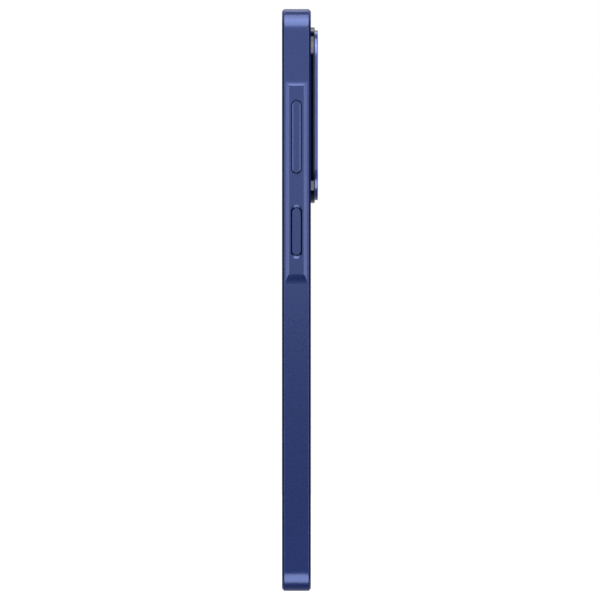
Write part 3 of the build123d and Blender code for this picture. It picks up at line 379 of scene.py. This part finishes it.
# The walls round the keys that get the painted shade lie past key_side_x and between these heights, and
# below each x here
wall_roughness = 0.9
key_side_x = 30 * MM
wall_fade = 0.1 * MM
slot_heights = (90 * MM, 140 * MM)
slot_walls = (38.85 * MM, 1.5 * MM, *slot_heights)
key_walls = (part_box("power_key")[1].x - 0.15 * MM, 2.0 * MM, *slot_heights)
materials = {
    "frame_paint": flake_paint("frame_paint", blues, 0.31, 0.25, 0.4, flake_tint, shaded_walls=slot_walls),
    "key_paint": flake_paint("key_paint", blues, 0.31, 0.25, 0.4, flake_tint, shaded_walls=key_walls),
    "cover_paint": flake_paint("cover_paint", blues, 0.42, 0.3, 0.4, flake_tint, 0.25),
    "screen_glass": screen_glass(),
    "display_stack": gloss_black("display_stack", (0.004, 0.004, 0.005), 0.2),
    "black_tape": mottled("black_tape", (0.010, 0.010, 0.011), (0.02, 0.02, 0.021), 0.8),
    "flex_film": mottled("flex_film", (0.15, 0.055, 0.012), (0.24, 0.1, 0.025), 0.35, coat=0.3),
    "dark_mesh": mesh_weave("dark_mesh"),
    "module_black": mottled("module_black", (0.008, 0.008, 0.009), (0.016, 0.016, 0.017), 0.55),
    "graphite": mottled("graphite", (0.02, 0.02, 0.021), (0.045, 0.045, 0.047), 0.5, 0.4),
    "island_black": gloss_black("island_black", (0.0025, 0.0035, 0.0065), 0.09),
    "rim_blue": flake_paint("rim_blue", rim_blues, 0.3, 0.35, 1.0, rim_tint, 0.1),
    "lens_glass": gloss_black("lens_glass", (0.002, 0.002, 0.003), 0.05),
    "ring_metal": turned_metal("ring_metal", (0.09, 0.13, 0.36), 0.25, 0.12 * MM, camera_centres),
    "sensor_ceramic": gloss_black("sensor_ceramic", (0.01, 0.01, 0.016), 0.15),
    "flash_diffuser": clear_window("flash_diffuser", (0.8, 0.78, 0.7), 0.45),
    "led_phosphor": mottled("led_phosphor", (0.75, 0.5, 0.05), (0.9, 0.7, 0.14), 0.6),
    "board_green": circuit_board("board_green"),
    "shield_steel": mottled("shield_steel", (0.36, 0.36, 0.37), (0.5, 0.5, 0.51), 0.32, 1.0, grain=2500),
    "bracket_plastic": mottled("bracket_plastic", (0.010, 0.010, 0.011), (0.02, 0.02, 0.021), 0.6),
    "cast_plate": mottled("cast_plate", (0.25, 0.25, 0.26), (0.38, 0.38, 0.39), 0.5, 1.0, grain=1500),
    "battery_pouch": mottled("battery_pouch", (0.03, 0.03, 0.032), (0.06, 0.06, 0.063), 0.4, 0.3, patch=25),
    "pull_tape": mottled("pull_tape", (0.5, 0.5, 0.5), (0.65, 0.65, 0.64), 0.6),
    "coax_sleeve": mottled("coax_sleeve", (0.4, 0.4, 0.41), (0.55, 0.55, 0.56), 0.5),
    "port_steel": mottled("port_steel", (0.42, 0.42, 0.43), (0.6, 0.6, 0.61), 0.24, 1.0, grain=3000),
    "contact_gold": mottled("contact_gold", (0.7, 0.42, 0.12), (0.85, 0.58, 0.2), 0.2, 1.0),
    "seal_rubber": mottled("seal_rubber", (0.012, 0.012, 0.013), (0.022, 0.022, 0.024), 0.75),
    "rotor_weight": mottled("rotor_weight", (0.2, 0.2, 0.21), (0.3, 0.3, 0.31), 0.45, 1.0),
}

for subpart in frame["record"]["subparts"]:
    shape = nodes[subpart["node"]]
    for material_slot in shape.material_slots:
        material_slot.material = materials[subpart["material_slot"]]


# ------------------------------------------------------------------ small helpers for pieces
def new_piece(name, mesh, material, body):
    piece = bpy.data.objects.new(name, mesh)
    bpy.context.scene.collection.objects.link(piece)
    mesh.materials.append(material)
    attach(piece, body)
    return piece


def lathe(name, profile, centre, material, body, segments=96, smooth_angle=35):
    """Turns a closed profile of (radius, y) points about an axis along Y through centre."""
    mesh = bpy.data.meshes.new(name)
    bm = bmesh.new()
    rings = []
    for step in range(segments):
        turn = 2 * math.pi * step / segments
        ring = []
        for radius, y in profile:
            place = (centre[0] + radius * math.cos(turn), y, centre[1] + radius * math.sin(turn))
            ring.append(bm.verts.new(place))
        rings.append(ring)
    count = len(profile)
    for step in range(segments):
        here, there = rings[step], rings[(step + 1) % segments]
        for point in range(count):
            follow = (point + 1) % count
            bm.faces.new((here[point], here[follow], there[follow], there[point]))
    bmesh.ops.remove_doubles(bm, verts=bm.verts, dist=1e-7)
    bmesh.ops.dissolve_degenerate(bm, edges=bm.edges, dist=1e-8)
    bmesh.ops.recalc_face_normals(bm, faces=bm.faces)
    bm.to_mesh(mesh)
    bm.free()
    mesh.shade_smooth()
    mesh.set_sharp_from_angle(angle=math.radians(smooth_angle))
    return new_piece(name, mesh, material, body)


def pill_points(centre, half_width, half_height, steps=48):
    """Points round a pill that stands upright, as (x, z)."""
    straight = half_height - half_width
    points = []
    for start, end_z in ((0, centre[1] + straight), (math.pi, centre[1] - straight)):
        for step in range(steps + 1):
            turn = start + math.pi * step / steps
            points.append((centre[0] + half_width * math.cos(turn), end_z + half_width * math.sin(turn)))
    return points


def circle_points(centre, radius, steps=96):
    turns = [2 * math.pi * step / steps for step in range(steps)]
    return [(centre[0] + radius * math.cos(t), centre[1] + radius * math.sin(t)) for t in turns]


def cut_plate(name, outline, holes, y_low, y_high, edge, material, body):
    """A flat plate in the X-Z plane with holes through it and softened edges."""
    curve = bpy.data.curves.new(name, "CURVE")
    curve.dimensions = "2D"
    curve.fill_mode = "BOTH"
    curve.extrude = (y_high - y_low) / 2 - edge
    curve.bevel_depth = edge
    curve.bevel_resolution = 2
    curve.offset = -edge
    for loop in [outline, *holes]:
        spline = curve.splines.new("POLY")
        spline.points.add(len(loop) - 1)
        for point, (x, z) in zip(spline.points, loop):
            point.co = (x, z, 0, 1)
        spline.use_cyclic_u = True
    shape = bpy.data.objects.new(name, curve)
    mesh = bpy.data.meshes.new_from_object(shape)
    bpy.data.objects.remove(shape)
    middle = (y_low + y_high) / 2
    for vertex in mesh.vertices:
        x, z, y = vertex.co
        vertex.co = (x, middle - y, z)
    bm = bmesh.new()
    bm.from_mesh(mesh)
    bmesh.ops.remove_doubles(bm, verts=bm.verts, dist=1e-6)
    bmesh.ops.recalc_face_normals(bm, faces=bm.faces)
    bm.to_mesh(mesh)
    bm.free()
    mesh.name = name
    mesh.materials.clear()
    mesh.shade_smooth()
    mesh.set_sharp_from_angle(angle=math.radians(40))
    return new_piece(name, mesh, material, body)


# ------------------------------------------------------------------ camera island face and lenses
baffle_black = mottled("baffle_black", (0.004, 0.004, 0.0045), (0.009, 0.009, 0.01), 0.5, grain=6000)
window_clear = clear_window("window_clear", (0.01, 0.01, 0.014), 0.16)
# Each lens: its near-black centre colour, and its coating's reflection tint, painted in towards the
# glancing edge
lens_tints = [
    lens_coating("lens_main", (0.0008, 0.0009, 0.002), (0.035, 0.02, 0.09)),
    lens_coating("lens_wide", (0.0008, 0.001, 0.002), (0.01, 0.045, 0.07)),
    lens_coating("lens_macro", (0.0008, 0.0009, 0.002), (0.045, 0.018, 0.06)),
]

face_low_y = island_low.y
face_high_y = island_high.y
bore = ring_radius - ring_wall
island_middle = (island_low + island_high) / 2
island_half = (island_high - island_low) / 2
outline = pill_points((island_middle.x, island_middle.z), island_half.x, island_half.z)
window_holes = [circle_points(centre, bore) for centre in camera_centres]
island_face = cut_plate(
    "island_face", outline, window_holes, face_low_y, face_high_y, 0.04 * MM,
    materials["lens_glass"], "phone_body",
)
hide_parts("camera_cover_glass")


def baffle_profile(outer, inner, top_y, bottom_y, steps):
    """A stepped cone from the window's edge down to the lens, like the ribs that stop stray light."""
    wall = 0.1 * MM
    points = [(outer, top_y)]
    for step in range(steps):
        share = (step + 1) / steps
        radius = outer + (inner - outer) * share
        y = top_y + (bottom_y - top_y) * share
        points.append((radius, points[-1][1]))
        points.append((radius, y))
    points.append((inner, bottom_y - wall))
    points.append((outer, bottom_y - wall))
    return points


# Each lens: name, radius, height of its crown, the body it rides on
pane_top = face_high_y - 0.06 * MM
pane_bottom = pane_top - 0.3 * MM
baffle_floor = face_low_y - 0.05 * MM
lens_rise = 0.25 * MM
dome_height = 0.42 * MM
dome_steps = 12
barrel_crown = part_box("main_lens_barrel")[1].y + lens_rise
nose_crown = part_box("ultrawide_camera_module")[1].y + lens_rise
lenses = [
    ("main", 2.6 * MM, barrel_crown, "autofocus_barrel"),
    ("wide", 2.4 * MM, nose_crown, "phone_body"),
    ("macro", 1.5 * MM, nose_crown, "phone_body"),
]
pane_radius = bore - 0.02 * MM
baffle_radius = bore - 0.03 * MM
baffle_top = pane_bottom - 0.02 * MM
for centre, tint, (label, radius, crown, body) in zip(camera_centres, lens_tints, lenses):
    pane = [(0, pane_bottom), (pane_radius, pane_bottom), (pane_radius, pane_top), (0, pane_top)]
    lathe(f"{label}_window", pane, centre, window_clear, "phone_body")
    ribs = baffle_profile(baffle_radius, radius + 0.2 * MM, baffle_top, baffle_floor, 5)
    lathe(f"{label}_baffle", ribs, centre, baffle_black, "phone_body")
    shoulder = crown - dome_height
    dome = [(0, shoulder - 0.2 * MM), (radius, shoulder - 0.2 * MM)]
    for step in range(dome_steps + 1):
        turn = math.pi / 2 * step / dome_steps
        dome.append((radius * math.cos(turn), shoulder + dome_height * math.sin(turn)))
    lathe(f"{label}_lens", dome, centre, tint, body)

# ------------------------------------------------------------------ flash
flash_radius = (flash_high.x - flash_low.x) / 2 - 0.6 * MM
lens_top = flash_high.y - 0.02 * MM
grooves = [(0, flash_low.y), (flash_radius, flash_low.y), (flash_radius, lens_top)]
groove_count = 7
groove_start = flash_radius - 0.25 * MM
groove_pitch = (flash_radius - 0.9 * MM) / groove_count
groove_depth = 0.13 * MM
groove_lean = 0.02 * MM
for step in range(groove_count):
    outer = groove_start - step * groove_pitch
    inner = groove_start - (step + 1) * groove_pitch
    grooves.append((outer, lens_top))
    grooves.append((inner + groove_lean, lens_top - groove_depth))
    grooves.append((inner, lens_top))
grooves.append((0, lens_top - 0.02 * MM))
flash_window = lathe(
    "flash_window", grooves, flash_centre, materials["flash_diffuser"], "phone_body",
)
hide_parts("flash_lens")
reflector = mottled("flash_reflector", (0.7, 0.7, 0.7), (0.85, 0.85, 0.84), 0.2, 1.0)
cup_top = flash_low.y - 0.02 * MM
cup_floor = cup_top - 0.35 * MM
cup_floor_radius = 1.5 * MM
cup_rim_radius = flash_radius + 0.3 * MM
cup_wall = 0.1 * MM
cup = [
    (flash_radius, cup_top),
    (cup_floor_radius, cup_floor),
    (cup_floor_radius, cup_floor - cup_wall),
    (cup_rim_radius, cup_top - cup_wall),
    (cup_rim_radius, cup_top),
]
lathe("flash_cup", cup, flash_centre, reflector, "phone_body")

# ------------------------------------------------------------------ floor
floor_mesh = bpy.data.meshes.new("floor")
bm = bmesh.new()
bmesh.ops.create_circle(bm, cap_ends=True, radius=0.9, segments=96)
bm.to_mesh(floor_mesh)
bm.free()
floor = bpy.data.objects.new("floor", floor_mesh)
floor.location.z = cad_box[0].z
floor.visible_diffuse = False
floor.visible_glossy = False
floor.visible_transmission = False
floor.visible_shadow = False
bpy.context.scene.collection.objects.link(floor)
floor_shader = Shader("floor_white")
floor_shader.set(Roughness=0.9, Emission_Color=(1, 1, 1, 1), Emission_Strength=0.9)
floor_shader.paint(floor_shader.blend(floor_shader.noise(3), (0.46, 0.46, 0.46), (0.5, 0.5, 0.5)))
floor_mesh.materials.append(floor_shader.material)

# ------------------------------------------------------------------ studio light
scene = bpy.context.scene
scene.view_settings.view_transform = "Standard"
phone_centre = (cad_box[0] + cad_box[1]) / 2


def area_lamp(name, shape, width, height, power, place, rotation):
    """A flat lamp of its own shape and size, shining along its own -Z."""
    lamp = bpy.data.lights.new(name, "AREA")
    lamp.shape = shape
    lamp.size = width
    lamp.size_y = height
    lamp.energy = power
    light = bpy.data.objects.new(name, lamp)
    light.location = place
    light.rotation_euler = rotation
    scene.collection.objects.link(light)
    return light


def softbox(name, elevation, distance, width, height, power):
    """An oval lamp on the keys' side, at an elevation in degrees, aimed at the phone."""
    e = math.radians(elevation)
    direction = Vector((math.cos(e), 0, math.sin(e)))
    turned = direction.to_track_quat("Z", "Y").to_euler()
    return area_lamp(name, "ELLIPSE", width, height, power, phone_centre + direction * distance, turned)


def front_card(name, low_z, high_z, width, distance, power):
    """A flat upright lamp in front of the keys, between two heights above the phone's middle."""
    place = phone_centre + Vector((distance, 0, (low_z + high_z) / 2))
    upright = (math.pi / 2, 0, math.pi / 2)
    light = area_lamp(name, "RECTANGLE", width, high_z - low_z, power, place, upright)
    light.visible_camera = False
    return light


# Three of the lamps light only the painted pieces, so that the black ones keep their dark front
painted = bpy.data.collections.new("painted")
for name in ("side_frame", "volume_key", "power_key", "rear_cover", "camera_island_rim", "card_tray"):
    painted.objects.link(nodes[name])
# Each of them: name, low and high edge, width, distance, power
broad_lamps = [
    ("low_card", 0.0, 0.05, 0.3, 0.38, 0.0555),
    ("middle_card", 0.05, 0.22, 0.3, 0.38, 0.10),
    ("far_panel", -0.12, 0.75, 1.4, 1.6, 1.5),
]
for values in broad_lamps:
    front_card(*values).light_linking.receiver_collection = painted
front_card("high_card", 0.22, 0.36, 0.3, 0.38, 0.185)
softbox("top_light", 62, 0.24, 0.20, 0.20, 0.348)
softbox("low_light", -53.5, 0.33, 0.30, 0.226, 0.68)

# Elevations here run round the phone's side: 0 in front of the keys, 90 overhead, 180 behind
sky = Sky("studio")
across = sky.math("ABSOLUTE", sky.place("Y"))
level = sky.math("ABSOLUTE", sky.place("Z"))
elevation = sky.math("MULTIPLY", sky.math("ARCTAN2", sky.place("Z"), sky.place("X")), 180 / math.pi)
facing = sky.remap(across, 0.3, 0.85, 1, 0, smooth=True)
# Bright patches round the side, each with its centre, half spread and strength
patches = [(-130, 20, 0.27), (-110, 20, 0.19), (56, 22, 2.1), (130, 20, 2.0)]
bright = []
for centre, half_spread, power in patches:
    bright.append(sky.math("MULTIPLY", sky.bell(elevation, centre, half_spread), power))
round_side = sky.math("MULTIPLY", sky.gather("ADD", bright), facing)
# Strips in front of the keys to the left and right, at the phone's own level
in_front = sky.remap(sky.place("X"), 0.2, 0.5, 0, 1, smooth=True)
flank = sky.gather("MULTIPLY", [sky.bell(across, 0.6, 0.38), sky.bell(level, 0, 0.5), in_front, 4.0])
backdrop = sky.remap(sky.place("X"), -0.6, -0.9, 0, 0.5, smooth=True)
high_or_low = sky.remap(level, 0.25, 0.6, 0, 1, smooth=True)
glow = sky.math("MULTIPLY", sky.remap(across, 0.5, 0.9, 0, 0.8, smooth=True), high_or_low)
lit = sky.gather("ADD", [round_side, flank, backdrop, glow])
# The camera itself sees plain white
seen = sky.add("ShaderNodeLightPath").outputs["Is Camera Ray"]
strength = sky.math("ADD", sky.math("MULTIPLY", lit, sky.math("SUBTRACT", 1.0, seen)), seen)
sky.link(strength, sky.main.inputs["Strength"])
sky.main.inputs["Color"].default_value = (1, 1, 1, 1)
scene.world = sky.world

# ------------------------------------------------------------------ camera
lens_mm = 400.0
sensor_mm = 36.0
frame_height = 168.9 * MM
side_plane_x = 35.0 * MM
camera_data = bpy.data.cameras.new("camera")
camera_data.lens = lens_mm
camera_data.sensor_width = sensor_mm
camera_data.clip_end = 20.0
camera = bpy.data.objects.new("camera", camera_data)
reach = frame_height * lens_mm / sensor_mm
camera.location = (side_plane_x + reach, phone_centre.y, phone_centre.z)
camera.rotation_euler = (math.pi / 2, 0, math.pi / 2)
scene.collection.objects.link(camera)
scene.camera = camera

bpy.context.view_layer.update()
